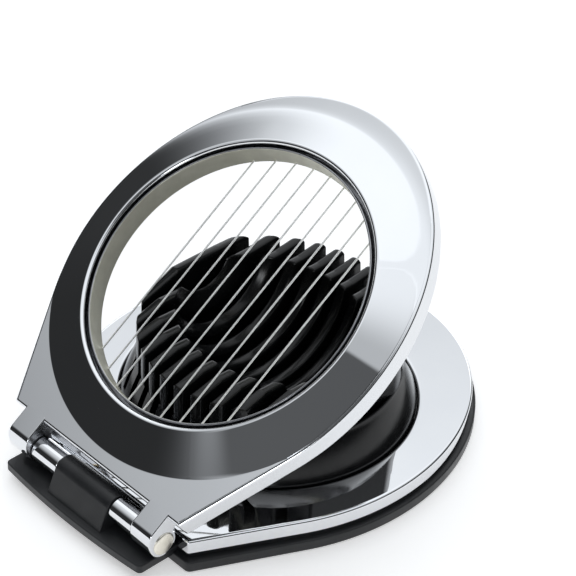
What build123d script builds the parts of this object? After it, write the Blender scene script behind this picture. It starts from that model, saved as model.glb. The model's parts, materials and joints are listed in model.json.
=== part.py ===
"""Hinged egg slicer: a wired cutting frame over a slatted egg cradle on a flat base.

Row frame, millimetres: X along the hinge, +Y from the hinge to the lift edge, +Z up.
The origin is on the table, under the middle of the cradle. The cutting frame is
modelled raised by open_angle, which is the rest pose of the hinge.
"""
from build123d import *
import math
import os

os.makedirs("parts", exist_ok=True)

# Outline shared by the cutting frame and the base plate: half an ellipse at the
# front, two straight flanks and a straight rear edge.
half_width = 49.5
front_reach = 56.6
rear_y = -54.2
frame_rear_half_width = 31.0
base_rear_half_width = 29.9

# Heights above the table.
tray_rim_top = 3.2
plate_bottom = 4.6
plate_top = 8.6
hinge_z = 9.2

# Hinge.
hinge_y = -59.4
open_angle = 34.6
ear_inner_x = 19.8
ear_outer_x = 26.9
ear_radius = 3.9
barrel_inner_x = 10.2
barrel_outer_x = 19.6
barrel_radius = 3.3
block_half_width = 10.0
block_radius = 3.7
pin_radius = 1.75
pin_clearance = 0.04
pin_head_radius = 3.1
pin_head_depth = 1.2
pin_head_proud = 0.7

# Cutting frame, heights above the hinge axis when closed.
wall_bottom = 0.7
rim_top = 6.0
lip_top = 10.2
wall_thickness = 1.8
top_thickness = 1.7
lip_radius = 39.7
lip_inner_radius = 38.9
cone_radius = 50.7

# Wire carrier and wires, heights above the hinge axis when closed.
carrier_radius = 37.4
carrier_wall = 0.6
carrier_bottom = 2.8
carrier_top = 9.5
flange_bottom = 4.1
flange_top = 5.3
flange_radius = 43.4
wire_height = 3.4
wire_radius = 0.25
wire_hole_radius = 0.28
wire_count = 9
wire_pitch = 5.41
ferrule_radius = 0.6
ferrule_length = 2.2
ferrule_circle = 40.6
screw_circle = 41.2
screw_spread = 12.0

# Base, tray and cradle.
tray_overhang = 1.2
tray_recess = 0.6
tray_floor = 1.8
tail_bottom = 2.1
tail_top = 4.6
tail_half_width = 25.7
tail_side_y = -66.0
tail_rear_y = -67.4
tail_corner_radius = 1.5
block_foot_y = -65.4
cradle_hole_radius = 38.6
cradle_flange_radius = 38.5
cradle_flange_top = 8.2
island_foot_radius = 37.5
island_mid_radius = 36.6
island_mid_z = 14.0
island_top_radius = 34.4
island_top_z = 19.2
cradle_inner_radius = 33.5
cradle_floor_top = 4.0
slot_width = 2.2
slot_floor = 11.2

# Slats, heights above the table.
slat_count = 12
slat_thickness = 3.2
slat_circle = 34.3
slat_well_radius = 33.45
slat_rear_corner = 29.2
slat_rear_run = 7.5
slat_rear_peak = 31.0
slat_front_inner = 32.8
slat_front_run = 9.0
slat_front_top = 33.8
slat_front_draft = 1.1
slat_end_rise = 3.0
hollow_z = 36.1
hollow_half_length = 28.0
hollow_radius = 22.4

# Screws.
screw_head_radius = 1.9
screw_head_height = 1.2
screw_shank_radius = 0.9
recess_length = 2.4
recess_width = 0.5
recess_depth = 0.6
base_screw_spots = [(24.0, 43.0), (-24.0, 43.0), (26.0, -46.5), (-26.0, -46.5)]
base_screw_head_z = 0.5
base_screw_tip_z = 7.4

hinge_origin = Vector(0, hinge_y, hinge_z)
tilted = Plane(origin=hinge_origin).rotated((open_angle, 0, 0))
ring_origin = tilted.from_local_coords(Vector(0, -hinge_y, 0))
# Same X and Y as the base, tilted with the raised frame; its height 0 is the hinge axis.
frame_plane = Plane(origin=ring_origin, x_dir=(1, 0, 0), z_dir=tilted.z_dir)


def outline(rear_half_width, grow=0.0):
    """Outline of the frame or base, grown or shrunk all round, as a flat sketch."""
    a = half_width + grow
    b = front_reach + grow
    corner_x = rear_half_width + grow
    corner_y = rear_y - grow
    # Angle on the ellipse where the line from the rear corner touches it.
    u = corner_x / a
    v = corner_y / b
    touch = math.atan2(v, u) + math.acos(1 / math.hypot(u, v))
    touch_x = a * math.cos(touch)
    touch_y = b * math.sin(touch)
    start = math.degrees(touch)
    with BuildSketch(Plane.XY) as shape:
        with BuildLine():
            EllipticalCenterArc((0, 0), a, b, start_angle=start, arc_size=180 - 2 * start)
            Polyline(
                (-touch_x, touch_y),
                (-corner_x, corner_y),
                (corner_x, corner_y),
                (touch_x, touch_y),
            )
        make_face()
    return shape.sketch


def side_plane(x, base=Plane.XY):
    """Plane across the hinge at x, whose local x is the base plane's Y and local y its Z."""
    return Plane(
        origin=base.from_local_coords(Vector(x, 0, 0)),
        x_dir=base.y_dir,
        z_dir=base.x_dir,
    )


def frame_axis():
    """Axis through the middle of the aperture, square to the cutting frame."""
    return Axis(ring_origin, frame_plane.z_dir)


def finish(part, name):
    """Label one finished sub-part and write its STEP file."""
    part.part.label = name
    export_step(part.part, f"parts/{name}.step")


def screw_spots(radius, spread):
    """Two screws each side of the X axis, at the given radius."""
    angles = [spread, -spread, 180 - spread, 180 + spread]
    return [
        (radius * math.cos(math.radians(t)), radius * math.sin(math.radians(t)))
        for t in angles
    ]


carrier_screw_spots = screw_spots(screw_circle, screw_spread)
wire_xs = [(i - (wire_count - 1) / 2) * wire_pitch for i in range(wire_count)]
slat_xs = [(i - (slat_count - 1) / 2) * wire_pitch for i in range(slat_count)]

# ---------------------------------------------------------------- cutting frame
cone_slope = (lip_top - rim_top) / (cone_radius - lip_radius)
pocket_ceiling = rim_top - top_thickness
lip_ceiling = lip_top - top_thickness
pocket_corner = lip_radius + (lip_ceiling - pocket_ceiling) / cone_slope
boss_radius = 2.2

with BuildPart() as cutting_frame:
    with BuildSketch(frame_plane.offset(wall_bottom)):
        add(outline(frame_rear_half_width))
    extrude(amount=lip_top - wall_bottom)
    # Everything above the cone and the flat rim.
    with BuildSketch(side_plane(0, frame_plane)):
        with BuildLine():
            Polyline(
                (lip_radius, lip_top),
                (cone_radius, rim_top),
                (front_reach + 20, rim_top),
                (front_reach + 20, lip_top + 5),
                (lip_radius, lip_top + 5),
                close=True,
            )
        make_face()
    revolve(axis=frame_axis(), mode=Mode.SUBTRACT)
    # Flat pocket under the rim, then the conical pocket under the dished ring.
    with BuildSketch(frame_plane.offset(wall_bottom)):
        add(outline(frame_rear_half_width, -wall_thickness))
    extrude(amount=pocket_ceiling - wall_bottom, mode=Mode.SUBTRACT)
    with BuildSketch(side_plane(0, frame_plane)):
        with BuildLine():
            Polyline(
                (0, wall_bottom),
                (0, lip_ceiling),
                (lip_radius, lip_ceiling),
                (pocket_corner, pocket_ceiling),
                (pocket_corner, wall_bottom),
                close=True,
            )
        make_face()
    revolve(axis=frame_axis(), mode=Mode.SUBTRACT)
    with BuildSketch(frame_plane.offset(wall_bottom)):
        Circle(lip_inner_radius)
    extrude(amount=lip_top, mode=Mode.SUBTRACT)
    # Bosses for the carrier screws, from the carrier's flange up into the cone.
    with BuildSketch(frame_plane.offset(flange_top)):
        with Locations(*carrier_screw_spots):
            Circle(boss_radius)
    extrude(amount=lip_top - top_thickness - flange_top + 0.2)
    with BuildSketch(frame_plane.offset(flange_top)):
        with Locations(*carrier_screw_spots):
            Circle(screw_shank_radius)
    extrude(amount=1.6, mode=Mode.SUBTRACT)
    # Two ears that carry on the flat rim and wrap down round the pin.
    for side in (1, -1):
        inner_plane = side_plane(side * ear_inner_x, frame_plane)
        with BuildSketch(inner_plane):
            with BuildLine():
                l1 = Line((rear_y + wall_thickness, rim_top), (hinge_y, rim_top))
                l2 = EllipticalCenterArc(
                    (hinge_y, 0), ear_radius, rim_top, start_angle=90, arc_size=90
                )
                l3 = CenterArc((hinge_y, 0), ear_radius, 180, 150)
                l4 = Line(l3 @ 1, (rear_y - 0.4, wall_bottom))
                l5 = Line(l4 @ 1, (rear_y + wall_thickness, wall_bottom))
                Line(l5 @ 1, l1 @ 0)
            make_face()
        extrude(amount=side * (ear_outer_x - ear_inner_x))
    with BuildSketch(side_plane(-ear_outer_x - 1, frame_plane)):
        with Locations((hinge_y, 0)):
            Circle(pin_radius + pin_clearance)
    extrude(amount=2 * ear_outer_x + 2, mode=Mode.SUBTRACT)
    for side in (1, -1):
        with BuildSketch(side_plane(side * ear_outer_x, frame_plane)):
            with Locations((hinge_y, 0)):
                Circle(pin_head_radius + pin_clearance)
        extrude(amount=-side * pin_head_depth, mode=Mode.SUBTRACT)
finish(cutting_frame, "cutting_frame")

# ---------------------------------------------------------------- wire carrier
with BuildPart() as wire_carrier:
    with BuildSketch(side_plane(0, frame_plane)):
        with BuildLine():
            Polyline(
                (carrier_radius, carrier_bottom),
                (carrier_radius + carrier_wall, carrier_bottom),
                (carrier_radius + carrier_wall, flange_bottom),
                (flange_radius, flange_bottom),
                (flange_radius, flange_top),
                (carrier_radius + carrier_wall, flange_top),
                (carrier_radius + carrier_wall, carrier_top),
                (carrier_radius, carrier_top),
                close=True,
            )
        make_face()
    revolve(axis=frame_axis())
    for x in wire_xs:
        with BuildSketch(Plane(frame_plane.from_local_coords(Vector(x, -50, wire_height)),
                               x_dir=(1, 0, 0), z_dir=frame_plane.y_dir)):
            Circle(wire_hole_radius)
        extrude(amount=100, mode=Mode.SUBTRACT)
    with BuildSketch(frame_plane.offset(flange_bottom)):
        with Locations(*carrier_screw_spots):
            Circle(screw_shank_radius + 0.15)
    extrude(amount=flange_top - flange_bottom, mode=Mode.SUBTRACT)
finish(wire_carrier, "wire_carrier")

# ---------------------------------------------------------------- cutting wires
for number, x in enumerate(wire_xs, start=1):
    half_chord = math.sqrt(ferrule_circle**2 - x**2) + ferrule_length / 2
    with BuildPart() as cutting_wire:
        with BuildSketch(Plane(frame_plane.from_local_coords(Vector(x, -half_chord, wire_height)),
                               x_dir=(1, 0, 0), z_dir=frame_plane.y_dir)):
            Circle(wire_radius)
        extrude(amount=2 * half_chord)
    finish(cutting_wire, f"cutting_wire_{number}")

# Crimped ferrules that hold the wire ends under the carrier's flange.
for end, name in ((-1, "wire_ferrules_rear"), (1, "wire_ferrules_front")):
    with BuildPart() as ferrules:
        for x in wire_xs:
            middle = math.sqrt(ferrule_circle**2 - x**2)
            start_y = end * middle - ferrule_length / 2
            with BuildSketch(Plane(frame_plane.from_local_coords(Vector(x, start_y, wire_height)),
                                   x_dir=(1, 0, 0), z_dir=frame_plane.y_dir)):
                Circle(ferrule_radius)
                Circle(wire_radius + 0.02, mode=Mode.SUBTRACT)
            extrude(amount=ferrule_length)
    finish(ferrules, name)

# Four screws that hold the carrier up in the frame.
with BuildPart() as carrier_screws:
    with BuildSketch(frame_plane.offset(flange_bottom)):
        with Locations(*carrier_screw_spots):
            Circle(screw_head_radius)
    extrude(amount=-screw_head_height)
    with BuildSketch(frame_plane.offset(flange_bottom)):
        with Locations(*carrier_screw_spots):
            Circle(screw_shank_radius - 0.02)
    extrude(amount=flange_top - flange_bottom + 1.5)
    with BuildSketch(frame_plane.offset(flange_bottom - screw_head_height)):
        with Locations(*carrier_screw_spots):
            Rectangle(recess_length, recess_width)
            Rectangle(recess_width, recess_length)
    extrude(amount=recess_depth, mode=Mode.SUBTRACT)
finish(carrier_screws, "carrier_screws")

# ---------------------------------------------------------------- hinge pin
pin_seat_x = ear_outer_x - pin_head_depth

with BuildPart() as hinge_pin:
    with BuildSketch(side_plane(-pin_seat_x)):
        with Locations((hinge_y, hinge_z)):
            Circle(pin_radius)
    extrude(amount=2 * pin_seat_x)
    for side in (1, -1):
        with BuildSketch(side_plane(side * pin_seat_x)):
            with Locations((hinge_y, hinge_z)):
                Circle(pin_head_radius)
        extrude(amount=side * (pin_head_depth + pin_head_proud))
    end_faces = [hinge_pin.faces().sort_by(Axis.X)[i] for i in (0, -1)]
    fillet([face.edges()[0] for face in end_faces], radius=pin_head_proud - 0.1)
finish(hinge_pin, "hinge_pin")

# ---------------------------------------------------------------- base plate
with BuildPart() as base_plate:
    with BuildSketch(Plane.XY.offset(plate_bottom)):
        add(outline(base_rear_half_width))
        Circle(cradle_hole_radius, mode=Mode.SUBTRACT)
    extrude(amount=plate_top - plate_bottom)
    for side in (1, -1):
        with BuildSketch(side_plane(side * barrel_inner_x)):
            with Locations((hinge_y, hinge_z)):
                Circle(barrel_radius)
            with BuildLine():
                Polyline(
                    (hinge_y, hinge_z - barrel_radius),
                    (rear_y + 1, plate_bottom + 0.4),
                    (rear_y + 1, plate_top - 1.2),
                    (hinge_y, plate_top - 1.2),
                    close=True,
                )
            make_face()
        extrude(amount=side * (barrel_outer_x - barrel_inner_x))
    with BuildSketch(side_plane(-barrel_outer_x - 1)):
        with Locations((hinge_y, hinge_z)):
            Circle(pin_radius + pin_clearance)
    extrude(amount=2 * barrel_outer_x + 2, mode=Mode.SUBTRACT)
    with BuildSketch(Plane.XY.offset(plate_bottom)):
        with Locations(*base_screw_spots):
            Circle(screw_shank_radius)
    extrude(amount=base_screw_tip_z - plate_bottom + 0.2, mode=Mode.SUBTRACT)
finish(base_plate, "base_plate")

# ---------------------------------------------------------------- bottom tray
with BuildPart() as bottom_tray:
    with BuildSketch(Plane.XY):
        add(outline(base_rear_half_width, tray_overhang))
    extrude(amount=tray_rim_top)
    with BuildSketch(Plane.XY.offset(tray_rim_top)):
        add(outline(base_rear_half_width, -tray_recess))
    extrude(amount=plate_bottom - tray_rim_top)
    # Tail under the hinge, with a shallow arc at the rear and rounded corners.
    with BuildSketch(Plane.XY.offset(tail_bottom)) as tail_outline:
        with BuildLine():
            back = ThreePointArc(
                (-tail_half_width, tail_side_y), (0, tail_rear_y), (tail_half_width, tail_side_y)
            )
            Polyline(
                back @ 1,
                (tail_half_width, rear_y - tray_overhang),
                (-tail_half_width, rear_y - tray_overhang),
                back @ 0,
            )
        make_face()
        fillet(tail_outline.vertices().sort_by(Axis.Y)[:2], radius=tail_corner_radius)
    extrude(amount=tail_top - tail_bottom)
    # Hinge block: half round over the pin, with a sloping rear face down to the tail.
    slope = math.atan2(hinge_z - tail_top, hinge_y - block_foot_y)
    foot_distance = math.hypot(hinge_z - tail_top, hinge_y - block_foot_y)
    face_angle = slope + math.asin(block_radius / foot_distance)
    face_y = hinge_y - block_radius * math.sin(face_angle)
    face_z = hinge_z + block_radius * math.cos(face_angle)
    with BuildSketch(side_plane(-block_half_width)):
        with BuildLine():
            foot = Line((block_foot_y, tail_top - 1), (block_foot_y, tail_top))
            face = Line(foot @ 1, (face_y, face_z))
            top = ThreePointArc(
                face @ 1,
                (hinge_y, hinge_z + block_radius),
                (hinge_y + block_radius, hinge_z),
            )
            front = Line(top @ 1, (hinge_y + block_radius, tail_top - 1))
            Line(front @ 1, foot @ 0)
        make_face()
    extrude(amount=2 * block_half_width)
    with BuildSketch(side_plane(-block_half_width - 1)):
        with Locations((hinge_y, hinge_z)):
            Circle(pin_radius + pin_clearance)
    extrude(amount=2 * block_half_width + 2, mode=Mode.SUBTRACT)
    # Well that the cradle drops into.
    with BuildSketch(Plane.XY.offset(tray_floor)):
        Circle(cradle_hole_radius)
    extrude(amount=plate_bottom, mode=Mode.SUBTRACT)
    # Screw holes with sunk heads.
    with BuildSketch(Plane.XY):
        with Locations(*base_screw_spots):
            Circle(screw_head_radius + 0.3)
    extrude(amount=base_screw_head_z + screw_head_height, mode=Mode.SUBTRACT)
    with BuildSketch(Plane.XY):
        with Locations(*base_screw_spots):
            Circle(screw_shank_radius + 0.15)
    extrude(amount=plate_bottom, mode=Mode.SUBTRACT)
finish(bottom_tray, "bottom_tray")

with BuildPart() as base_screws:
    with BuildSketch(Plane.XY.offset(base_screw_head_z)):
        with Locations(*base_screw_spots):
            Circle(screw_head_radius)
    extrude(amount=screw_head_height)
    with BuildSketch(Plane.XY.offset(base_screw_head_z)):
        with Locations(*base_screw_spots):
            Circle(screw_shank_radius - 0.02)
    extrude(amount=base_screw_tip_z - base_screw_head_z)
    with BuildSketch(Plane.XY.offset(base_screw_head_z)):
        with Locations(*base_screw_spots):
            Rectangle(recess_length, recess_width)
            Rectangle(recess_width, recess_length)
    extrude(amount=recess_depth, mode=Mode.SUBTRACT)
finish(base_screws, "base_screws")

# ---------------------------------------------------------------- egg cradle
with BuildPart() as egg_cradle:
    with BuildSketch(side_plane(0)):
        with BuildLine():
            flange = Polyline(
                (0, tray_floor),
                (cradle_flange_radius, tray_floor),
                (cradle_flange_radius, cradle_flange_top),
                (island_foot_radius, cradle_flange_top),
                (island_foot_radius, plate_top),
            )
            shoulder = ThreePointArc(
                flange @ 1,
                (island_mid_radius, island_mid_z),
                (island_top_radius, island_top_z),
            )
            Polyline(
                shoulder @ 1,
                (cradle_inner_radius, island_top_z),
                (cradle_inner_radius, cradle_floor_top),
                (0, cradle_floor_top),
                (0, tray_floor),
            )
        make_face()
    revolve(axis=Axis.Z)
    # Slots that let the wires down through the wall.
    with BuildSketch(Plane.XY.offset(slot_floor)):
        for x in wire_xs:
            with Locations((x, 0)):
                Rectangle(slot_width, 90)
    extrude(amount=20, mode=Mode.SUBTRACT)
finish(egg_cradle, "egg_cradle")

# Slats stand in the cradle's well. Their tops are low towards the hinge, high at
# the front and at the two end slats, and the middle is hollowed out for the egg.
for number, x in enumerate(slat_xs, start=1):
    chord = math.sqrt(slat_circle**2 - x**2)
    rise = slat_end_rise * (abs(x) / slat_xs[-1]) ** 8
    with BuildPart() as cradle_slat:
        with BuildSketch(side_plane(x - slat_thickness / 2)):
            with BuildLine():
                FilletPolyline(
                    (-chord - 2, cradle_floor_top),
                    (-chord - 2, slat_rear_corner + 0.2 * rise - 0.5),
                    (slat_rear_run - chord + rise, slat_rear_peak + rise),
                    (chord - slat_front_run, slat_front_inner + 0.4 * rise),
                    (chord - slat_front_draft, slat_front_top),
                    (chord, island_top_z),
                    (chord, cradle_floor_top),
                    radius=0.6,
                    close=True,
                )
            make_face()
        extrude(amount=slat_thickness)
        # Trim to the round island, with a step where the slat meets its wall.
        with BuildSketch(side_plane(0)):
            with BuildLine():
                Polyline(
                    (0, cradle_floor_top - 1),
                    (0, slat_front_top + 5),
                    (slat_circle, slat_front_top + 5),
                    (slat_circle, island_top_z),
                    (slat_well_radius, island_top_z),
                    (slat_well_radius, cradle_floor_top - 1),
                    close=True,
                )
            make_face()
        revolve(axis=Axis.Z, mode=Mode.INTERSECT)
        # Egg hollow: the longer axis of the egg lies along the hinge.
        with BuildSketch(Plane.XZ):
            with BuildLine():
                bowl = EllipticalCenterArc(
                    (0, hollow_z), hollow_half_length, hollow_radius, start_angle=0, arc_size=180
                )
                Line(bowl @ 1, bowl @ 0)
            make_face()
        revolve(axis=Axis((0, 0, hollow_z), (1, 0, 0)), mode=Mode.SUBTRACT)
    finish(cradle_slat, f"cradle_slat_{number}")
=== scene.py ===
import json
import math

import bmesh
import bpy
import numpy as np
from mathutils import Matrix, Vector

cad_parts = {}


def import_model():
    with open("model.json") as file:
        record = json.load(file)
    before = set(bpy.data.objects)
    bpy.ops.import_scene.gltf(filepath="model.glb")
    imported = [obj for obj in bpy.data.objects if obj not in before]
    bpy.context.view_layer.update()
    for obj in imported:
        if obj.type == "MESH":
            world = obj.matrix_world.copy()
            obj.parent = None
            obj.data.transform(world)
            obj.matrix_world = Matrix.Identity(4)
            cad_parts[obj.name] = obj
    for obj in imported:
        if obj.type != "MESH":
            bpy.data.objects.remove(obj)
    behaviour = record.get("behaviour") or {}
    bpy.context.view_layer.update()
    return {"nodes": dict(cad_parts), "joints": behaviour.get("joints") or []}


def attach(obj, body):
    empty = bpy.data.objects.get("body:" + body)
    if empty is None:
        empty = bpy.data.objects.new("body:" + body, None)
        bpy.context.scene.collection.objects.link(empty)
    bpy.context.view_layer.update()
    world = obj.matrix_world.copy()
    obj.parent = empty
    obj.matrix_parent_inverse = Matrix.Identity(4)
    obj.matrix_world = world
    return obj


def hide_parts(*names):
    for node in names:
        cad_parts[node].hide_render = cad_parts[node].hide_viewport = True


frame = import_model()

# ------------------------------------------------------------------ sizes, in millimetres
# Shared outline of the cutting frame and the base plate.
HALF_WIDTH = 49.5
FRONT_REACH = 56.6
REAR_Y = -54.2
FRAME_REAR_HALF_WIDTH = 31.0
BASE_REAR_HALF_WIDTH = 29.9
CORNER_RADIUS = 0.6
SMALLEST_CORNER = 0.08

# Heights above the table.
TRAY_RIM_TOP = 3.2
PLATE_BOTTOM = 4.6
PLATE_TOP = 8.6
PLATE_EDGE = 0.7
PLATE_FOOT_EDGE = 0.25

# Hinge.
joint = frame["joints"][0]
HINGE_Y = joint["pos_m"][1] * 1000
HINGE_Z = joint["pos_m"][2] * 1000
OPEN_ANGLE = -math.radians(joint["range_deg"][0])
EAR_INNER_X = 19.8
EAR_OUTER_X = 26.9
EAR_RADIUS = 3.9
EAR_EDGE = 0.35
EAR_LIFT = 0.012
BARREL_INNER_X = 10.2
BARREL_OUTER_X = 19.6
BARREL_RADIUS = 3.3
HINGE_EDGE = 0.3
BLOCK_HALF_WIDTH = 10.0
BLOCK_RADIUS = 3.7
BLOCK_FOOT_Y = -65.4
PIN_HEAD_RADIUS = 3.1
PIN_HEAD_PROUD = 0.7
PIN_CORE_RADIUS = 1.7
PIN_HEAD_SEAT = 1.2
PIN_HEAD_STEP = 0.1

# Cutting frame, heights above the hinge axis when closed.
WALL_BOTTOM = 0.7
RIM_TOP = 6.0
LIP_TOP = 10.2
LIP_ROLL = 0.9
LIP_RADIUS = 39.7
LIP_DEPTH = 2.6
CONE_RADIUS = 50.7
WALL_THICKNESS = 1.8
TOP_THICKNESS = 1.7
EDGE = 0.75
WALL_EDGE = 0.25
CREASE_FADE = (-0.2, 0.7)
CREASE_SHARP = 0.02
CREASE_SOFTENING = 0.4

# Wire carrier.
CARRIER_RADIUS = 37.4
CARRIER_WALL = 0.6
CARRIER_BOTTOM = 2.8
CARRIER_TOP = 9.5
FLANGE_BOTTOM = 4.1
FLANGE_TOP = 5.3
FLANGE_RADIUS = 43.4
CARRIER_ROLL = 0.3
CARRIER_FOOT_EDGE = 0.15
FLANGE_EDGE = 0.2
FLANGE_FILLET = 0.1

# Tray.
TRAY_OVERHANG = 1.2
TRAY_RECESS = 0.6
TAIL_BOTTOM = 2.1
TAIL_TOP = 4.6
TAIL_HALF_WIDTH = 25.7
TAIL_SIDE_Y = -66.0
TAIL_REAR_Y = -67.4
TAIL_CORNER = 1.5
TRAY_EDGE = 0.35
TRAY_MIDDLE_RADIUS = 12

# Cradle.
CRADLE_HOLE_RADIUS = 38.6
HOLE_EDGE = 0.9
HOLE_GAP = 0.1
ISLAND_MID = (36.6, 14.0)
ISLAND_TOP = (34.4, 19.2)
CRADLE_INNER_RADIUS = 33.5
CRADLE_FLOOR = 4.0
WIRE_PITCH = 5.41
WIRE_COUNT = 9
SLOT_WIDTH = 2.2
SLOT_FLOOR = 11.2
SLAT_COUNT = 12
SLAT_THICKNESS = 3.2
SLAT_CIRCLE = 34.3
SLAT_REAR_CORNER = 29.2
SLAT_REAR_RUN = 7.5
SLAT_REAR_PEAK = 31.0
SLAT_FRONT_INNER = 32.8
SLAT_FRONT_RUN = 9.0
SLAT_FRONT_TOP = 33.8
SLAT_FRONT_DRAFT = 1.1
SLAT_END_RISE = 3.0
SLAT_CROWN = 1.3
SLAT_EASE = (0.4, 1.0)
SLAT_TIP_ROUND = 2.0
HOLLOW_STEPS = 16
TURN_STEPS = 240
HOLLOW_Z = 36.1
HOLLOW_HALF_LENGTH = 28.0
HOLLOW_RADIUS = 22.4

SHARP_ANGLE = math.radians(38)
WELD_DISTANCE = 2e-7
SLIVER_DISTANCE = 1e-7
MM = 0.001
RAISED = (
    Matrix.Translation((0, HINGE_Y, HINGE_Z))
    @ Matrix.Rotation(OPEN_ANGLE, 4, "X")
    @ Matrix.Translation((0, -HINGE_Y, 0))
)


# ------------------------------------------------------------------ material helpers
def new_material(name, colour, metallic, roughness):
    """Material with a Principled shader, returned with its node tree and its shader."""
    mat = bpy.data.materials.new(name)
    mat.use_nodes = True
    tree = mat.node_tree
    shader = tree.nodes["Principled BSDF"]
    shader.inputs["Base Color"].default_value = (*colour, 1)
    shader.inputs["Metallic"].default_value = metallic
    shader.inputs["Roughness"].default_value = roughness
    return mat, tree, shader


def noise(tree, scale, detail=3.0, stretch=(1, 1, 1)):
    """Noise texture in object space; scale is per metre."""
    coords = tree.nodes.new("ShaderNodeTexCoord")
    mapping = tree.nodes.new("ShaderNodeMapping")
    mapping.inputs["Scale"].default_value = stretch
    texture = tree.nodes.new("ShaderNodeTexNoise")
    texture.inputs["Scale"].default_value = scale
    texture.inputs["Detail"].default_value = detail
    tree.links.new(coords.outputs["Object"], mapping.inputs["Vector"])
    tree.links.new(mapping.outputs["Vector"], texture.inputs["Vector"])
    return texture.outputs["Fac"]


def spread(tree, value, low, high):
    """Maps the middle part of a noise value onto the range low to high."""
    remap = tree.nodes.new("ShaderNodeMapRange")
    remap.inputs["From Min"].default_value = 0.3
    remap.inputs["From Max"].default_value = 0.7
    remap.inputs["To Min"].default_value = low
    remap.inputs["To Max"].default_value = high
    tree.links.new(value, remap.inputs["Value"])
    return remap.outputs["Result"]


def blend_colours(tree, factor, dark, light):
    """Colour that runs from dark to light with the factor."""
    mix = tree.nodes.new("ShaderNodeMix")
    mix.data_type = "RGBA"
    mix.inputs["A"].default_value = (*dark, 1)
    mix.inputs["B"].default_value = (*light, 1)
    tree.links.new(factor, mix.inputs["Factor"])
    return mix.outputs["Result"]


def add_bump(tree, shader, height, strength, distance):
    """Bump from a height value; distance in metres."""
    bump = tree.nodes.new("ShaderNodeBump")
    bump.inputs["Strength"].default_value = strength
    bump.inputs["Distance"].default_value = distance
    tree.links.new(height, bump.inputs["Height"])
    tree.links.new(bump.outputs["Normal"], shader.inputs["Normal"])


def chrome_material():
    """Mirror chrome plating with faint polishing haze."""
    mat, tree, shader = new_material("chrome_plating", (0.74, 0.75, 0.77), 1.0, 0.03)
    haze = spread(tree, noise(tree, 160), 0.015, 0.045)
    tree.links.new(haze, shader.inputs["Roughness"])
    tint = spread(tree, noise(tree, 45), 0.0, 1.0)
    colour = blend_colours(tree, tint, (0.725, 0.738, 0.76), (0.75, 0.762, 0.78))
    tree.links.new(colour, shader.inputs["Base Color"])
    return mat


def plastic_material(name, dark, light, rough_low, rough_high, grain):
    """Moulded black plastic: slight sheen variation and a very fine grain."""
    mat, tree, shader = new_material(name, light, 0.0, rough_high)
    shader.inputs["Specular IOR Level"].default_value = 0.36
    sheen = spread(tree, noise(tree, 220, 4), rough_low, rough_high)
    tree.links.new(sheen, shader.inputs["Roughness"])
    colour = blend_colours(tree, spread(tree, noise(tree, 70), 0, 1), dark, light)
    tree.links.new(colour, shader.inputs["Base Color"])
    add_bump(tree, shader, noise(tree, 2600, 2), grain, 0.00004)
    return mat


def metal_material(name, dark, light, rough_low, rough_high, stretch=(1, 1, 1), metallic=1.0):
    """Metal with a fine grain, drawn out into lines along an axis whose stretch is small."""
    mat, tree, shader = new_material(name, light, metallic, rough_high)
    lines = noise(tree, 1500, 3, stretch)
    tree.links.new(spread(tree, lines, rough_low, rough_high), shader.inputs["Roughness"])
    colour = blend_colours(tree, spread(tree, noise(tree, 300), 0, 1), dark, light)
    tree.links.new(colour, shader.inputs["Base Color"])
    add_bump(tree, shader, lines, 0.15, 0.00002)
    return mat


CHROME = chrome_material()
# Dull chrome: rougher than the polished plating, with a dark colour that is painted shade for the
# recesses, undersides and groove it is put on.
DULL_CHROME_PAINTED_SHADE = metal_material(
    "dull_chrome_painted_shade", (0.3, 0.305, 0.32), (0.36, 0.365, 0.38), 0.26, 0.34
)
CRADLE_BLACK = plastic_material(
    "cradle_black", (0.003, 0.0033, 0.0036), (0.005, 0.0054, 0.006), 0.16, 0.24, 0.05
)
TRAY_BLACK = plastic_material(
    "tray_black", (0.013, 0.014, 0.0155), (0.022, 0.023, 0.025), 0.3, 0.42, 0.1
)
# Satin carrier metal, partly real finish; its olive tint is a painted reflection of an egg in the
# cradle.
SATIN_EGG_REFLECTION = metal_material(
    "carrier_satin_egg_reflection", (0.68, 0.67, 0.56), (0.76, 0.75, 0.64), 0.38, 0.48, metallic=0.5
)
STEEL = metal_material(
    "wire_steel", (0.88, 0.88, 0.87), (0.98, 0.98, 0.97), 0.2, 0.3, (1, 0.03, 1), metallic=0.4
)
BRASS = metal_material("ferrule_brass", (0.6, 0.47, 0.24), (0.75, 0.62, 0.35), 0.25, 0.4)
ZINC = metal_material("screw_steel", (0.5, 0.5, 0.5), (0.66, 0.66, 0.67), 0.28, 0.45)
NICKEL = metal_material(
    "pin_nickel", (0.82, 0.78, 0.68), (0.92, 0.89, 0.8), 0.3, 0.42, (0.3, 1, 1)
)


# ------------------------------------------------------------------ mesh helpers
def raised(points):
    """Points of the closed frame, heights above the hinge axis, moved to its raised pose."""
    return [RAISED @ Vector(p) for p in points]


def flat_points(points):
    """Points that stay where they are, in the base's own place."""
    return [Vector(p) for p in points]


def loft(loops, ring=False):
    """Vertices and faces of a skin over loops of equal length, capped unless it is a ring."""
    count = len(loops[0])
    verts = [p for loop in loops for p in loop]
    faces = []
    spans = len(loops) if ring else len(loops) - 1
    for i in range(spans):
        a = i * count
        b = (i + 1) % len(loops) * count
        for j in range(count):
            k = (j + 1) % count
            faces.append((a + j, a + k, b + k, b + j))
    if not ring:
        faces.append(tuple(range(count))[::-1])
        faces.append(tuple(range((len(loops) - 1) * count, len(loops) * count)))
    return verts, faces


def joined(*parts):
    """One vertex and face list from several."""
    verts = []
    faces = []
    for part_verts, part_faces in parts:
        base = len(verts)
        verts += part_verts
        faces += [tuple(i + base for i in f) for f in part_faces]
    return verts, faces


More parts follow.
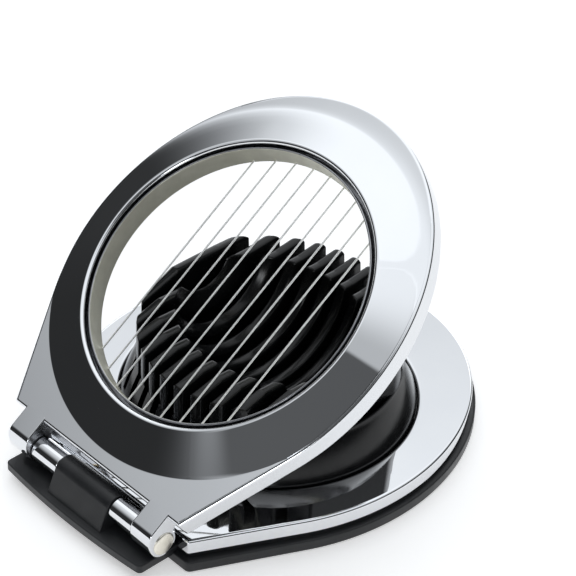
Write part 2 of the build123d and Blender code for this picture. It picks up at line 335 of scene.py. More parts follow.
def piece(name, skin, material, body, slot, *nodes):
    """Mesh object from a skin in millimetres, riding on a body and replacing CAD nodes."""
    verts, faces = skin
    mesh = bpy.data.meshes.new(name)
    mesh.from_pydata([Vector(v) * MM for v in verts], [], faces)
    bm = bmesh.new()
    bm.from_mesh(mesh)
    bmesh.ops.remove_doubles(bm, verts=bm.verts, dist=WELD_DISTANCE)
    bmesh.ops.dissolve_degenerate(bm, edges=bm.edges, dist=SLIVER_DISTANCE)
    bmesh.ops.recalc_face_normals(bm, faces=bm.faces)
    bm.to_mesh(mesh)
    bm.free()
    mesh.shade_smooth()
    mesh.set_sharp_from_angle(angle=SHARP_ANGLE)
    mesh.materials.append(material)
    obj = bpy.data.objects.new(name, mesh)
    bpy.context.scene.collection.objects.link(obj)
    weighted = obj.modifiers.new("normals", "WEIGHTED_NORMAL")
    weighted.keep_sharp = True
    weighted.weight = 80
    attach(obj, body)
    if nodes:
        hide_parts(*nodes)
    return obj


def corner_arc(before, p, after, radius, steps):
    """Rounds one corner, always with the same number of points."""
    p = np.array(p, float)
    u = np.array(before, float) - p
    w = np.array(after, float) - p
    u_len = np.linalg.norm(u)
    w_len = np.linalg.norm(w)
    u /= u_len
    w /= w_len
    half = math.acos(np.clip(u @ w, -1, 1)) / 2
    reach = min(radius / math.tan(half), 0.45 * u_len, 0.45 * w_len)
    start = p + u * reach
    end = p + w * reach
    arc_points = []
    for k in range(steps + 1):
        t = k / steps
        arc_points.append((1 - t) ** 2 * start + 2 * t * (1 - t) * p + t * t * end)
    return arc_points


def inset(loop, distance, stretch=(1.0, 1.0)):
    """Closed 2-D outline (anticlockwise) moved inwards, by its own share along each axis."""
    pts = np.array(loop)
    before = pts - np.roll(pts, 1, axis=0)
    after = np.roll(pts, -1, axis=0) - pts
    before /= np.maximum(np.linalg.norm(before, axis=1, keepdims=True), 1e-9)
    after /= np.maximum(np.linalg.norm(after, axis=1, keepdims=True), 1e-9)
    normal_a = np.stack([-before[:, 1], before[:, 0]], 1)
    normal_b = np.stack([-after[:, 1], after[:, 0]], 1)
    bisector = normal_a + normal_b
    scale = np.maximum((bisector * bisector).sum(1, keepdims=True) / 2, 0.3)
    return pts + bisector / scale * distance * np.array(stretch)


EDGE_STEPS = [(1 - math.sin(k * math.pi / 8), 1 - math.cos(k * math.pi / 8)) for k in range(5)]


def prism(loop, low, high, edge, place):
    """Prism with rounded end edges: an anticlockwise outline carried from low to high."""
    loops = []
    for shrink, depth in EDGE_STEPS:
        loops.append(place(inset(loop, edge * shrink), low + edge * depth))
    for shrink, depth in reversed(EDGE_STEPS):
        loops.append(place(inset(loop, edge * shrink), high - edge * depth))
    return loft(loops)


def across(loop, x):
    """Outline in Y and Z placed across the hinge at x."""
    return flat_points((x, p[0], p[1]) for p in loop)


def upright(loop, z):
    """Outline in X and Y placed at height z."""
    return flat_points((p[0], p[1], z) for p in loop)


def circle(radius, count, z=0.0):
    """Level circle of points round the vertical axis."""
    angles = [2 * math.pi * i / count for i in range(count)]
    return [(radius * math.cos(t), radius * math.sin(t), z) for t in angles]


def arc(centre, radius, start, end, steps):
    """Points of an arc, angles in degrees."""
    angles = [math.radians(start + (end - start) * k / steps) for k in range(steps + 1)]
    return [(centre[0] + radius * math.cos(t), centre[1] + radius * math.sin(t)) for t in angles]


def turned(profile, place):
    """Ring turned from a closed (radius, height) profile round the vertical axis."""
    return loft([place(circle(r, TURN_STEPS, z)) for r, z in profile], ring=True)


# ------------------------------------------------------------------ shared outline
ARC_STEPS = 236
FLANK_STEPS = 26
REAR_STEPS = 56
CORNER_STEPS = 6


def outline_loop(rear_half_width, grow=0.0):
    """Anticlockwise outline of the frame or base as an array of points, grown all round."""
    a = HALF_WIDTH + grow
    b = FRONT_REACH + grow
    cx = rear_half_width + grow
    cy = REAR_Y - grow
    u = cx / a
    v = cy / b
    touch = math.atan2(v, u) + math.acos(1 / math.hypot(u, v))
    touch_point = np.array([a * math.cos(touch), b * math.sin(touch)])
    radius = max(CORNER_RADIUS + grow, SMALLEST_CORNER)
    tip = np.array([cx, cy])
    to_flank = (touch_point - tip) / np.linalg.norm(touch_point - tip)
    to_rear = np.array([-1.0, 0.0])
    half = math.acos(to_flank @ to_rear) / 2
    reach = radius / math.tan(half)
    inwards = (to_flank + to_rear) / np.linalg.norm(to_flank + to_rear)
    middle = tip + inwards * radius / math.sin(half)
    sweep = math.pi - 2 * half
    right = []
    for k in range(CORNER_STEPS + 1):
        t = k / CORNER_STEPS
        start = tip + to_rear * reach - middle
        end = tip + to_flank * reach - middle
        right.append(
            middle
            + (math.sin((1 - t) * sweep) * start + math.sin(t * sweep) * end) / math.sin(sweep)
        )
    flank = [right[-1] + (touch_point - right[-1]) * k / FLANK_STEPS for k in range(1, FLANK_STEPS)]
    curve = []
    for k in range(ARC_STEPS + 1):
        t = touch + (math.pi - 2 * touch) * k / ARC_STEPS
        curve.append(np.array([a * math.cos(t), b * math.sin(t)]))
    left = [np.array([-p[0], p[1]]) for p in reversed(right + flank)]
    rear_start = left[-1]
    rear_end = right[0]
    rear = [rear_start + (rear_end - rear_start) * k / REAR_STEPS for k in range(1, REAR_STEPS)]
    return np.array(right + flank + curve + left + rear)


def polar(loop):
    """Unit direction and distance of each point of a loop from the middle."""
    distance = np.linalg.norm(loop, axis=1)
    return loop / distance[:, None], distance


DIRECTIONS, REACH = polar(outline_loop(FRAME_REAR_HALF_WIDTH))
BASE_DIRECTIONS, BASE_REACH = polar(outline_loop(BASE_REAR_HALF_WIDTH))


# ------------------------------------------------------------------ cutting frame
cone_tilt = math.atan2(LIP_TOP - RIM_TOP, CONE_RADIUS - LIP_RADIUS - 0.4)
cone_start = LIP_RADIUS + LIP_ROLL * math.sin(cone_tilt)
cone_start_z = LIP_TOP - LIP_ROLL * (1 - math.cos(cone_tilt))


MUCH_HIGHER = 30


def frame_top(radius, direction):
    """Height of the frame's top: the cone runs into the flat rim, softly at the front."""
    cone = cone_start_z - math.tan(cone_tilt) * (radius - cone_start)
    start, end = CREASE_FADE
    front = min(max((direction[1] - start) / (end - start), 0.0), 1.0)
    soft = CREASE_SHARP + CREASE_SOFTENING * front * front * (3 - 2 * front)
    lift = (cone - RIM_TOP) / soft
    if lift > MUCH_HIGHER:
        return cone
    return RIM_TOP + soft * math.log1p(math.exp(lift))


def frame_ring(radii):
    """Loop on the frame's top surface at a radius for each direction."""
    return raised(
        (d[0] * r, d[1] * r, frame_top(r, d)) for d, r in zip(DIRECTIONS, radii)
    )


def even_ring(radius, height):
    """Round loop of the frame at one radius and height."""
    return raised((d[0] * radius, d[1] * radius, height) for d in DIRECTIONS)


def edge_ring(grow, drop):
    """Loop round the frame's outline, a drop below the top surface there."""
    loop = outline_loop(FRAME_REAR_HALF_WIDTH, grow)
    return raised(
        (p[0], p[1], frame_top(r, d) - drop) for p, d, r in zip(loop, DIRECTIONS, REACH)
    )


def wall_ring(grow, height):
    """Loop round the frame's outline at one height."""
    return raised((p[0], p[1], height) for p in outline_loop(FRAME_REAR_HALF_WIDTH, grow))


CONE_SHARES = (0.02, 0.15, 0.35, 0.55, 0.75, 0.9, 0.97)
CREASE_HALF = 0.12
RIM_SHARES = (0.1, 0.3, 0.5, 0.7, 0.9, 0.985)
WALL_SHARES = (0.02, 0.5, 0.98)


def cutting_frame_skin():
    """Skin of the frame, from the lip over the cone and rim, round the wall and back under."""
    loops = []
    lip_bottom = LIP_TOP - LIP_DEPTH
    loops.append(even_ring(LIP_RADIUS - LIP_ROLL, lip_bottom))
    loops.append(even_ring(LIP_RADIUS - LIP_ROLL, LIP_TOP - LIP_ROLL - 0.2))
    roll_middle = LIP_TOP - LIP_ROLL
    for r, z in arc((LIP_RADIUS, roll_middle), LIP_ROLL, 180, 90 - math.degrees(cone_tilt), 14):
        loops.append(even_ring(r, z))
    crease = np.minimum(CONE_RADIUS, REACH - EDGE - 0.35)
    for share in CONE_SHARES:
        loops.append(frame_ring(cone_start + (crease - cone_start) * share))
    for offset in (-CREASE_HALF, -0.04, 0.04, CREASE_HALF):
        loops.append(frame_ring(crease + offset))
    flat_end = REACH - EDGE
    for share in RIM_SHARES:
        loops.append(frame_ring(crease + CREASE_HALF + (flat_end - crease - CREASE_HALF) * share))
    for shrink, depth in reversed(EDGE_STEPS):
        loops.append(edge_ring(-EDGE * depth, EDGE * shrink))
    loops[-1] = edge_ring(0.0, EDGE)
    for share in WALL_SHARES:
        height = RIM_TOP - EDGE - (RIM_TOP - EDGE - WALL_BOTTOM - WALL_EDGE) * share
        loops.append(wall_ring(0.0, height))
    for k in range(1, 4):
        t = k * math.pi / 6
        shrink = WALL_EDGE * (1 - math.cos(t))
        loops.append(wall_ring(-shrink, WALL_BOTTOM + WALL_EDGE * (1 - math.sin(t))))
    loops.append(wall_ring(-WALL_THICKNESS + 0.2, WALL_BOTTOM))
    loops.append(wall_ring(-WALL_THICKNESS, WALL_BOTTOM + 0.2))
    ceiling = RIM_TOP - TOP_THICKNESS
    loops.append(wall_ring(-WALL_THICKNESS, ceiling - 0.4))
    under = REACH - WALL_THICKNESS - 0.6
    inner = np.minimum(CONE_RADIUS - 0.6, under - 0.3)
    loops.append(raised((d[0] * r, d[1] * r, ceiling) for d, r in zip(DIRECTIONS, under)))
    loops.append(raised((d[0] * r, d[1] * r, ceiling) for d, r in zip(DIRECTIONS, inner)))
    loops.append(even_ring(LIP_RADIUS + 0.8, LIP_TOP - 2.3))
    return loft(loops, ring=True)


def ear_outline():
    """Side view of an ear, anticlockwise in Y and height above the hinge axis."""
    back = [
        (HINGE_Y + EAR_RADIUS * math.cos(t), RIM_TOP * math.sin(t))
        for t in (math.radians(90 + 90 * k / 12) for k in range(13))
    ]
    under = arc((HINGE_Y, 0), EAR_RADIUS, 187, 330, 14)
    front = [(REAR_Y - 0.4, WALL_BOTTOM), (REAR_Y + 1.2, WALL_BOTTOM), (REAR_Y + 1.2, RIM_TOP)]
    return back + under + front


def ear_skin(side):
    """Ear that wraps round the pin, a hair above the rim so that their tops don't coincide."""
    low, high = sorted((side * EAR_INNER_X, side * EAR_OUTER_X))

    def place(loop, x):
        return raised((x, p[0], p[1] + EAR_LIFT) for p in loop)

    return prism(ear_outline(), low, high, EAR_EDGE, place)


frame_shell = piece(
    "frame_shell",
    joined(cutting_frame_skin(), ear_skin(1), ear_skin(-1)),
    CHROME, "frame", "chrome_plating", "cutting_frame",
)


def paint_shade_on_unpolished_faces(obj):
    """Gives the unpolished faces inside the frame, under its top and between its ears their own
    material: the dull chrome, whose dark colour is painted shade.
    """
    mesh = obj.data
    mesh.materials.append(DULL_CHROME_PAINTED_SHADE)
    lowered = RAISED.inverted()
    for face in mesh.polygons:
        middle = lowered @ (face.center * 1000)
        facing = lowered.to_3x3() @ face.normal
        behind = middle.y < REAR_Y + 0.05
        between_ears = abs(middle.x) < EAR_INNER_X + 0.05
        outward = Vector((middle.x, middle.y)).normalized() @ Vector((facing.x, facing.y))
        far_out = math.hypot(middle.x, middle.y) > LIP_RADIUS + 2
        below_top = middle.z < RIM_TOP - TOP_THICKNESS + 0.05
        inner_wall = outward < -0.3 and far_out and below_top and not behind
        underside = facing.z < -0.3 and middle.z > WALL_BOTTOM + 0.5 and not behind
        recess = behind and between_ears and (facing.y < -0.9 or abs(facing.x) > 0.9)
        # Recesses, the underside and the inner wall take the dark dull chrome: painted shade where
        # shade falls.
        if recess or underside or inner_wall:
            face.material_index = 1


paint_shade_on_unpolished_faces(frame_shell)


# ------------------------------------------------------------------ wire carrier
def carrier_skin():
    """Carrier ring: thin wall with a rolled top and a flange round its outside."""
    outer = CARRIER_RADIUS + CARRIER_WALL
    roll_middle = CARRIER_TOP - CARRIER_ROLL
    profile = [
        (CARRIER_RADIUS, CARRIER_BOTTOM + CARRIER_FOOT_EDGE),
        (CARRIER_RADIUS, roll_middle),
    ]
    profile += arc((CARRIER_RADIUS + CARRIER_ROLL, roll_middle), CARRIER_ROLL, 180, 0, 8)[1:]
    profile += [
        (outer, FLANGE_TOP + FLANGE_FILLET),
        (outer + FLANGE_FILLET, FLANGE_TOP),
        (FLANGE_RADIUS - FLANGE_EDGE, FLANGE_TOP),
        (FLANGE_RADIUS, FLANGE_TOP - FLANGE_EDGE),
        (FLANGE_RADIUS, FLANGE_BOTTOM + FLANGE_EDGE),
        (FLANGE_RADIUS - FLANGE_EDGE, FLANGE_BOTTOM),
        (outer + FLANGE_FILLET, FLANGE_BOTTOM),
        (outer, FLANGE_BOTTOM - FLANGE_FILLET),
        (outer, CARRIER_BOTTOM + CARRIER_FOOT_EDGE),
        (outer - CARRIER_FOOT_EDGE, CARRIER_BOTTOM),
        (CARRIER_RADIUS + CARRIER_FOOT_EDGE, CARRIER_BOTTOM),
    ]
    return turned(profile, raised)


carrier_ring = piece(
    "carrier_ring", carrier_skin(), SATIN_EGG_REFLECTION, "frame", "chrome_plating", "wire_carrier"
)


def paint_groove_shade(obj):
    """Painted shade on the carrier's rim and outside, which face the groove under the lip: they
    take the dark dull chrome.
    """
    mesh = obj.data
    mesh.materials.append(DULL_CHROME_PAINTED_SHADE)
    lowered = RAISED.inverted()
    for face in mesh.polygons:
        middle = lowered @ (face.center * 1000)
        if math.hypot(middle.x, middle.y) > CARRIER_RADIUS + 0.08:
            face.material_index = 1


paint_groove_shade(carrier_ring)


# ------------------------------------------------------------------ base plate
def plate_ring(grow, z):
    """Loop round the base outline, grown all round, at one height."""
    return upright(outline_loop(BASE_REAR_HALF_WIDTH, grow), z)


def base_plate_skin():
    """Plate with a rolled edge round the cradle hole and a rounded outer edge."""
    loops = []
    hole = CRADLE_HOLE_RADIUS + HOLE_GAP

    def hole_ring(radius, z):
        return upright(BASE_DIRECTIONS * radius, z)

    loops.append(hole_ring(hole, PLATE_BOTTOM))
    loops.append(hole_ring(hole, PLATE_TOP - HOLE_EDGE - 0.05))
    for k in range(0, 8):
        t = k * math.pi / 16
        radius = hole + HOLE_EDGE * (1 - math.cos(t))
        loops.append(hole_ring(radius, PLATE_TOP - HOLE_EDGE * (1 - math.sin(t))))
    start = hole + HOLE_EDGE
    end = BASE_REACH - PLATE_EDGE
    for share in (0.02, 0.2, 0.5, 0.8, 0.98):
        radii = start + (end - start) * share
        loops.append(upright(BASE_DIRECTIONS * radii[:, None], PLATE_TOP))
    for shrink, depth in reversed(EDGE_STEPS):
        loops.append(plate_ring(-PLATE_EDGE * depth, PLATE_TOP - PLATE_EDGE * shrink))
    for z in (PLATE_TOP - PLATE_EDGE - 0.05, PLATE_BOTTOM + PLATE_FOOT_EDGE):
        loops.append(plate_ring(0.0, z))
    loops.append(plate_ring(-0.2, PLATE_BOTTOM))
    return loft(loops, ring=True)


def barrel_skin(side):
    """Hinge barrel with the web that joins it to the plate."""
    web_bottom = PLATE_BOTTOM + 0.4
    web_top = PLATE_TOP - 1.2
    rise = math.degrees(math.asin((web_top - HINGE_Z) / BARREL_RADIUS))
    loop = arc((HINGE_Y, HINGE_Z), BARREL_RADIUS, rise, 290, 40)
    loop += [(REAR_Y + 1, web_bottom), (REAR_Y + 1, web_top)]
    low, high = sorted((side * BARREL_INNER_X, side * BARREL_OUTER_X))
    return prism(loop, low, high, HINGE_EDGE, across)


piece(
    "base_plate_shell",
    joined(base_plate_skin(), barrel_skin(1), barrel_skin(-1)),
    CHROME, "base", "chrome_plating", "base_plate",
)


# ------------------------------------------------------------------ bottom tray
def tray_skin():
    """Tray: a rim that stands out round the plate and a step up to the plate's underside."""
    middle = BASE_DIRECTIONS * TRAY_MIDDLE_RADIUS
    loops = [
        upright(middle, 0.0),
        plate_ring(TRAY_OVERHANG - 0.5, 0.0),
        plate_ring(TRAY_OVERHANG - 0.15, 0.1),
        plate_ring(TRAY_OVERHANG, 0.4),
        plate_ring(TRAY_OVERHANG, TRAY_RIM_TOP - TRAY_EDGE - 0.05),
    ]
    for shrink, depth in reversed(EDGE_STEPS):
        grow = TRAY_OVERHANG - TRAY_EDGE * depth
        loops.append(plate_ring(grow, TRAY_RIM_TOP - TRAY_EDGE * shrink))
    loops += [
        plate_ring(-TRAY_RECESS + 0.05, TRAY_RIM_TOP),
        plate_ring(-TRAY_RECESS, TRAY_RIM_TOP + 0.05),
        plate_ring(-TRAY_RECESS, PLATE_BOTTOM),
        upright(middle, PLATE_BOTTOM),
    ]
    return loft(loops)


def tail_skin():
    """Tail under the hinge, with a shallow arc at the rear and rounded corners."""
    w = TAIL_HALF_WIDTH
    sagitta = TAIL_SIDE_Y - TAIL_REAR_Y
    radius = (w * w + sagitta * sagitta) / (2 * sagitta)
    half = math.degrees(math.asin(w / radius))
    rear = arc((0, TAIL_REAR_Y + radius), radius, 270 - half, 270 + half, 40)
    front_left = (-w, REAR_Y + 0.5)
    front_right = (w, REAR_Y + 0.5)
    loop = corner_arc(front_left, rear[0], rear[3], TAIL_CORNER, 6)
    loop += rear[2:-2]
    loop += corner_arc(rear[-4], rear[-1], front_right, TAIL_CORNER, 6)
    loop += [front_right, front_left]
    return prism(loop, TAIL_BOTTOM, TAIL_TOP, TRAY_EDGE, upright)


def block_skin():
    """Hinge block: half round over the pin, with a sloping rear face."""
    run = HINGE_Y - BLOCK_FOOT_Y
    climb = HINGE_Z - TAIL_TOP
    slope = math.atan2(climb, run)
    distance = math.hypot(climb, run)
    rise = math.degrees(slope + math.asin(BLOCK_RADIUS / distance))
    loop = arc((HINGE_Y, HINGE_Z), BLOCK_RADIUS, 0, 90 + rise, 24)
    sunk = TAIL_TOP - 0.5
    loop += [(BLOCK_FOOT_Y, TAIL_TOP), (BLOCK_FOOT_Y, sunk), (HINGE_Y + BLOCK_RADIUS, sunk)]
    return prism(loop, -BLOCK_HALF_WIDTH, BLOCK_HALF_WIDTH, HINGE_EDGE, across)


piece(
    "tray_body",
    joined(tray_skin(), tail_skin(), block_skin()),
    TRAY_BLACK, "base", "black_plastic", "bottom_tray",
)


# ------------------------------------------------------------------ cradle island
def circle_through(p, q, r):
    """Centre and radius of the circle through three points."""
    ax, ay = p
    bx, by = q
    cx, cy = r
    d = 2 * (ax * (by - cy) + bx * (cy - ay) + cx * (ay - by))
    a2 = ax * ax + ay * ay
    b2 = bx * bx + by * by
    c2 = cx * cx + cy * cy
    x = (a2 * (by - cy) + b2 * (cy - ay) + c2 * (ay - by)) / d
    y = (a2 * (cx - bx) + b2 * (ax - cx) + c2 * (bx - ax)) / d
    return (x, y), math.hypot(ax - x, ay - y)


def island_skin():
    """Round island that narrows upwards in an arc, hollow down to its floor."""
    foot = (CRADLE_HOLE_RADIUS - 0.25, PLATE_TOP)
    top_radius, top_z = ISLAND_TOP
    shoulder = (top_radius, top_z - 0.5)
    centre, radius = circle_through(foot, ISLAND_MID, shoulder)
    start = math.degrees(math.atan2(foot[1] - centre[1], foot[0] - centre[0]))
    end = math.degrees(math.atan2(shoulder[1] - centre[1], shoulder[0] - centre[0]))
    profile = [(foot[0], PLATE_BOTTOM), (foot[0], PLATE_TOP - 0.1)]
    profile += arc(centre, radius, start, end, 16)
    profile += [
        (top_radius - 0.15, top_z - 0.12),
        (top_radius - 0.45, top_z),
        (CRADLE_INNER_RADIUS, top_z),
        (CRADLE_INNER_RADIUS, CRADLE_FLOOR),
        (6.0, CRADLE_FLOOR),
        (6.0, PLATE_BOTTOM - 1.5),
        (foot[0], PLATE_BOTTOM - 1.5),
    ]
    return turned(profile, flat_points)


island = piece(
    "cradle_island", island_skin(), CRADLE_BLACK, "base", "black_plastic", "egg_cradle"
)


def slot_cutter():
    """Boxes for the wire slots, used once and then removed."""
    reach = 45
    above = 25
    parts = []
    for i in range(WIRE_COUNT):
        x = (i - (WIRE_COUNT - 1) / 2) * WIRE_PITCH
        left = x - SLOT_WIDTH / 2
        right = x + SLOT_WIDTH / 2
        loop = [(left, -reach), (right, -reach), (right, reach), (left, reach)]
        parts.append(loft([upright(loop, SLOT_FLOOR), upright(loop, above)]))
    verts, faces = joined(*parts)
    mesh = bpy.data.meshes.new("slot_cutter")
    mesh.from_pydata([Vector(v) * MM for v in verts], [], faces)
    obj = bpy.data.objects.new("slot_cutter", mesh)
    bpy.context.scene.collection.objects.link(obj)
    return obj


def apply_modifiers(obj):
    """Bakes an object's modifiers into its mesh."""
    graph = bpy.context.evaluated_depsgraph_get()
    baked = bpy.data.meshes.new_from_object(obj.evaluated_get(graph))
    obj.modifiers.clear()
    obj.data = baked


cutter = slot_cutter()
island.modifiers.clear()
cut = island.modifiers.new("slots", "BOOLEAN")
cut.object = cutter
cut.operation = "DIFFERENCE"
cut.solver = "EXACT"
apply_modifiers(island)
bpy.data.objects.remove(cutter)


# ------------------------------------------------------------------ cradle slats
def slat_loop(x, middle_x):
    """Side view of a slat at x, anticlockwise in Y and Z, for the slat whose middle is middle_x."""
    chord = math.sqrt(max(SLAT_CIRCLE**2 - x**2, 1.0))
    middle_chord = math.sqrt(SLAT_CIRCLE**2 - middle_x**2)
    last_x = (SLAT_COUNT - 1) / 2 * WIRE_PITCH
    rise = SLAT_END_RISE * (abs(middle_x) / last_x) ** 8
    peak = (SLAT_REAR_RUN - middle_chord + rise, SLAT_REAR_PEAK + rise)
    inner = (middle_chord - SLAT_FRONT_RUN, SLAT_FRONT_INNER + 0.4 * rise)
    narrow = math.sqrt(max(1 - (x / HOLLOW_HALF_LENGTH) ** 2, 0.0))
    bowl = HOLLOW_RADIUS * narrow

    # Each corner is its point, its rounding radius and the number of steps round it.
    corners = [
        ((-chord, CRADLE_FLOOR), 0, 0),
        ((chord, CRADLE_FLOOR), 0, 0),
        ((chord, ISLAND_TOP[1]), 0, 0),
        ((chord - SLAT_FRONT_DRAFT, SLAT_FRONT_TOP), 1.0, 6),
        (inner, SLAT_TIP_ROUND, 4),
    ]
    if bowl > 6:
        front_drop = HOLLOW_Z - inner[1]
        rear_drop = HOLLOW_Z - peak[1]
        front_y = math.sqrt(bowl**2 - front_drop**2)
        rear_y = math.sqrt(bowl**2 - rear_drop**2)
        corners.append(((front_y, inner[1]), 0.7, 4))
        start = math.atan2(front_drop, front_y)
        end = math.pi - math.atan2(rear_drop, rear_y)
        for k in range(1, HOLLOW_STEPS):
            t = start + (end - start) * k / HOLLOW_STEPS
            corners.append(((bowl * math.cos(t), HOLLOW_Z - bowl * math.sin(t)), 0, 0))
        corners.append(((-rear_y, peak[1] - 0.15), 0.7, 4))
    corners.append((peak, SLAT_TIP_ROUND, 6))
    corners.append(((-chord, SLAT_REAR_CORNER + 0.2 * rise), 0.6, 4))

    loop = []
    for i, (p, radius, steps) in enumerate(corners):
        if radius == 0:
            loop.append(np.array(p, float))
        else:
            before = corners[i - 1][0]
            after = corners[(i + 1) % len(corners)][0]
            loop += corner_arc(before, p, after, radius, steps)
    return loop


def slat_skin(middle_x):
    """Slat whose top edges are well rounded and whose upright edges are only eased."""
    half = SLAT_THICKNESS / 2
    stations = []
    for k in range(9):
        t = k * math.pi / 16
        stations.append((SLAT_CROWN * (1 - math.cos(t)) - half, SLAT_CROWN * (1 - math.sin(t))))
    stations += [(-x, shrink) for x, shrink in reversed(stations)]
    loops = []
    for offset, shrink in stations:
        x = middle_x + offset
        loops.append(across(inset(slat_loop(x, middle_x), shrink, SLAT_EASE), x))
    return loft(loops)


for number in range(1, SLAT_COUNT + 1):
    slat_x = (number - 1 - (SLAT_COUNT - 1) / 2) * WIRE_PITCH
    piece(
        f"slat_{number}", slat_skin(slat_x), CRADLE_BLACK,
        "base", "black_plastic", f"cradle_slat_{number}",
    )


# ------------------------------------------------------------------ hinge pin
def pin_skin():
    """Pin with a domed head at each end."""
    seat = EAR_OUTER_X - PIN_HEAD_SEAT
    face = EAR_OUTER_X + PIN_HEAD_STEP
    dome = PIN_HEAD_PROUD - PIN_HEAD_STEP
    half = [(seat, PIN_CORE_RADIUS), (seat, PIN_HEAD_RADIUS), (face, PIN_HEAD_RADIUS)]
    for k in range(1, 8):
        t = k * math.pi / 16
        half.append((face + dome * math.sin(t), PIN_HEAD_RADIUS * math.cos(t)))
    profile = [(-x, r) for x, r in reversed(half)] + half
    loops = []
    for x, r in profile:
        loops.append(flat_points((x, HINGE_Y + p[0], HINGE_Z + p[1]) for p in circle(r, 48)))
    return loft(loops)


piece("pin", pin_skin(), NICKEL, "base", "pin_nickel", "hinge_pin")

# ------------------------------------------------------------------ CAD nodes kept as they are
kept = {
    "carrier_screws": ZINC,
    "base_screws": ZINC,
    "wire_ferrules_front": BRASS,
    "wire_ferrules_rear": BRASS,
}
for number in range(1, WIRE_COUNT + 1):
    kept[f"cutting_wire_{number}"] = STEEL
for node, material in kept.items():
    obj = frame["nodes"][node]
    obj.data.materials.clear()
    obj.data.materials.append(material)


# ------------------------------------------------------------------ studio
def floor():
    """White paper under the object, a little below it and faintly luminous."""
    reach = 6.0
    z = -0.0002
    corners = [(-reach, -reach, z), (reach, -reach, z), (reach, reach, z), (-reach, reach, z)]
    mesh = bpy.data.meshes.new("floor")
    mesh.from_pydata(corners, [], [(0, 1, 2, 3)])
    obj = bpy.data.objects.new("floor", mesh)
    bpy.context.scene.collection.objects.link(obj)
    mat, tree, shader = new_material("floor_paper", (0.9, 0.9, 0.9), 0.0, 0.9)
    shader.inputs["Emission Color"].default_value = (1, 1, 1, 1)
    shader.inputs["Emission Strength"].default_value = 0.45
    mesh.materials.append(mat)


# Level bearings are in degrees from +X towards +Y; heights are the upward share of a direction.
HINGE_BEARING = 222
FAR_BEARING = 35
SCREEN_BEARING = 299
HORIZON_GLOW = 0.6
ROOM_TINT = (0.97, 1.0, 1.03, 1)
SCREEN_WAVINESS = 0.22
PANEL_FADE = 0.08


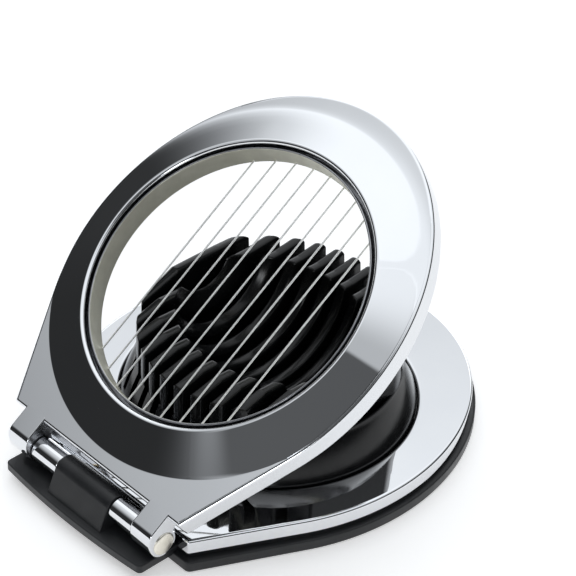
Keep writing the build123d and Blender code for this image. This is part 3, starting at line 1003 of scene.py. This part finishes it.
def world():
    """Soft white studio that the chrome reflects.

    Each side is dark near the floor and bright above. A dark screen with a wavy upper edge
    stands behind the camera, and two soft lamp panels light the object from the sides.
    """
    room = bpy.data.worlds.new("studio")
    bpy.context.scene.world = room
    room.use_nodes = True
    tree = room.node_tree
    tree.nodes.clear()
    link = tree.links.new
    coords = tree.nodes.new("ShaderNodeTexCoord").outputs["Generated"]
    split = tree.nodes.new("ShaderNodeSeparateXYZ")
    link(coords, split.inputs["Vector"])
    height = split.outputs["Z"]

    def remap(value, start, end, low=0.0, high=1.0):
        """Soft step from low to high while the value runs from start to end."""
        node = tree.nodes.new("ShaderNodeMapRange")
        node.interpolation_type = "SMOOTHSTEP"
        node.inputs["From Min"].default_value = start
        node.inputs["From Max"].default_value = end
        node.inputs["To Min"].default_value = low
        node.inputs["To Max"].default_value = high
        link(value, node.inputs["Value"])
        return node.outputs["Result"]

    def bearing(degrees):
        """Cosine of the level angle between a direction and a compass bearing."""
        level = tree.nodes.new("ShaderNodeVectorMath")
        level.operation = "MULTIPLY"
        level.inputs[1].default_value = (1, 1, 0)
        link(coords, level.inputs[0])
        unit = tree.nodes.new("ShaderNodeVectorMath")
        unit.operation = "NORMALIZE"
        link(level.outputs["Vector"], unit.inputs[0])
        dot = tree.nodes.new("ShaderNodeVectorMath")
        dot.operation = "DOT_PRODUCT"
        t = math.radians(degrees)
        dot.inputs[1].default_value = (math.cos(t), math.sin(t), 0)
        link(unit.outputs["Vector"], dot.inputs[0])
        return dot.outputs["Value"]

    def math_node(operation, a, b):
        """Result of one operation on two values, each a number or a socket."""
        node = tree.nodes.new("ShaderNodeMath")
        node.operation = operation
        for socket, value in zip(node.inputs, (a, b)):
            if isinstance(value, float):
                socket.default_value = value
            else:
                link(value, socket)
        return node.outputs["Value"]

    def mix(factor, a, b):
        """Brightness that runs from a to b with the factor."""
        node = tree.nodes.new("ShaderNodeMix")
        node.data_type = "FLOAT"
        for name, value in (("Factor", factor), ("A", a), ("B", b)):
            if isinstance(value, float):
                node.inputs[name].default_value = value
            else:
                link(value, node.inputs[name])
        return node.outputs["Result"]

    def wall(start, end, dark, bright):
        """Brightness of a wall that is dark below one height and bright above another."""
        return remap(height, start, end, dark, bright)

    def panel(behind, degrees, width, low, high, level):
        """Adds a soft-edged lamp panel at a bearing, between two heights."""
        across_panel = remap(bearing(degrees), math.cos(math.radians(width)), 1.0)
        lower = remap(height, low, low + PANEL_FADE)
        upper = remap(height, high - PANEL_FADE, high, 1.0, 0.0)
        inside = math_node("MULTIPLY", across_panel, math_node("MULTIPLY", lower, upper))
        return mix(inside, behind, level)

    clouds = tree.nodes.new("ShaderNodeTexNoise")
    clouds.inputs["Scale"].default_value = 3.2
    clouds.inputs["Detail"].default_value = 2.0
    link(coords, clouds.inputs["Vector"])

    lift_side = wall(0.23, 0.8, 0.04, 1.3)
    hinge_side = wall(0.45, 0.95, 0.03, 1.15)
    far_side = wall(0.47, 0.92, 0.03, 1.15)
    studio = mix(remap(bearing(HINGE_BEARING), 0.74, 0.93), lift_side, hinge_side)
    studio = mix(remap(bearing(FAR_BEARING), 0.45, 0.6), studio, far_side)

    waves = math_node("MULTIPLY", clouds.outputs["Fac"], SCREEN_WAVINESS)
    on_screen = remap(math_node("ADD", height, waves), 1.012, 1.024, 1.0, 0.0)
    screen = mix(on_screen, wall(0.92, 1.0, 0.6, 1.15), wall(0.38, 0.46, 0.02, 0.12))
    studio = mix(remap(bearing(SCREEN_BEARING), 0.74, 0.83), studio, screen)
    studio = mix(remap(height, 0.0, 0.03), HORIZON_GLOW, studio)

    studio = panel(studio, 128, 34, 0.06, 0.6, 2.2)
    studio = panel(studio, 310, 12, 0.08, 0.36, 7.0)

    background = tree.nodes.new("ShaderNodeBackground")
    link(studio, background.inputs["Strength"])
    background.inputs["Color"].default_value = ROOM_TINT
    white = tree.nodes.new("ShaderNodeBackground")
    white.inputs["Color"].default_value = (1, 1, 1, 1)
    choose = tree.nodes.new("ShaderNodeMixShader")
    link(tree.nodes.new("ShaderNodeLightPath").outputs["Is Camera Ray"], choose.inputs["Fac"])
    link(background.outputs["Background"], choose.inputs[1])
    link(white.outputs["Background"], choose.inputs[2])
    out = tree.nodes.new("ShaderNodeOutputWorld")
    link(choose.outputs["Shader"], out.inputs["Surface"])


# The camera looks down over the hinge end from its right; angles in degrees, places in metres.
CAMERA_AZIMUTH = 45.03
CAMERA_ELEVATION = 36.92
CAMERA_ROLL = 2.71
CAMERA_TARGET = (-0.01143, 0.01682, 0.02658)
CAMERA_DISTANCE = 0.6527
LENS_MM = 156.25
SENSOR_MM = 36.0


def camera():
    """Long-lens camera aimed at the target."""
    data = bpy.data.cameras.new("camera")
    data.sensor_width = SENSOR_MM
    data.lens = LENS_MM
    data.clip_end = 20
    obj = bpy.data.objects.new("camera", data)
    bpy.context.scene.collection.objects.link(obj)
    azimuth = math.radians(CAMERA_AZIMUTH)
    elevation = math.radians(CAMERA_ELEVATION)
    level = math.cos(elevation)
    back = Vector(
        (math.sin(azimuth) * level, -math.cos(azimuth) * level, math.sin(elevation))
    )
    aim = back.to_track_quat("Z", "Y").to_matrix().to_4x4()
    roll = Matrix.Rotation(math.radians(CAMERA_ROLL), 4, "Z")
    obj.rotation_euler = (aim @ roll).to_euler()
    obj.location = Vector(CAMERA_TARGET) + back * CAMERA_DISTANCE
    bpy.context.scene.camera = obj


floor()
world()
camera()
bpy.context.scene.view_settings.view_transform = "Standard"
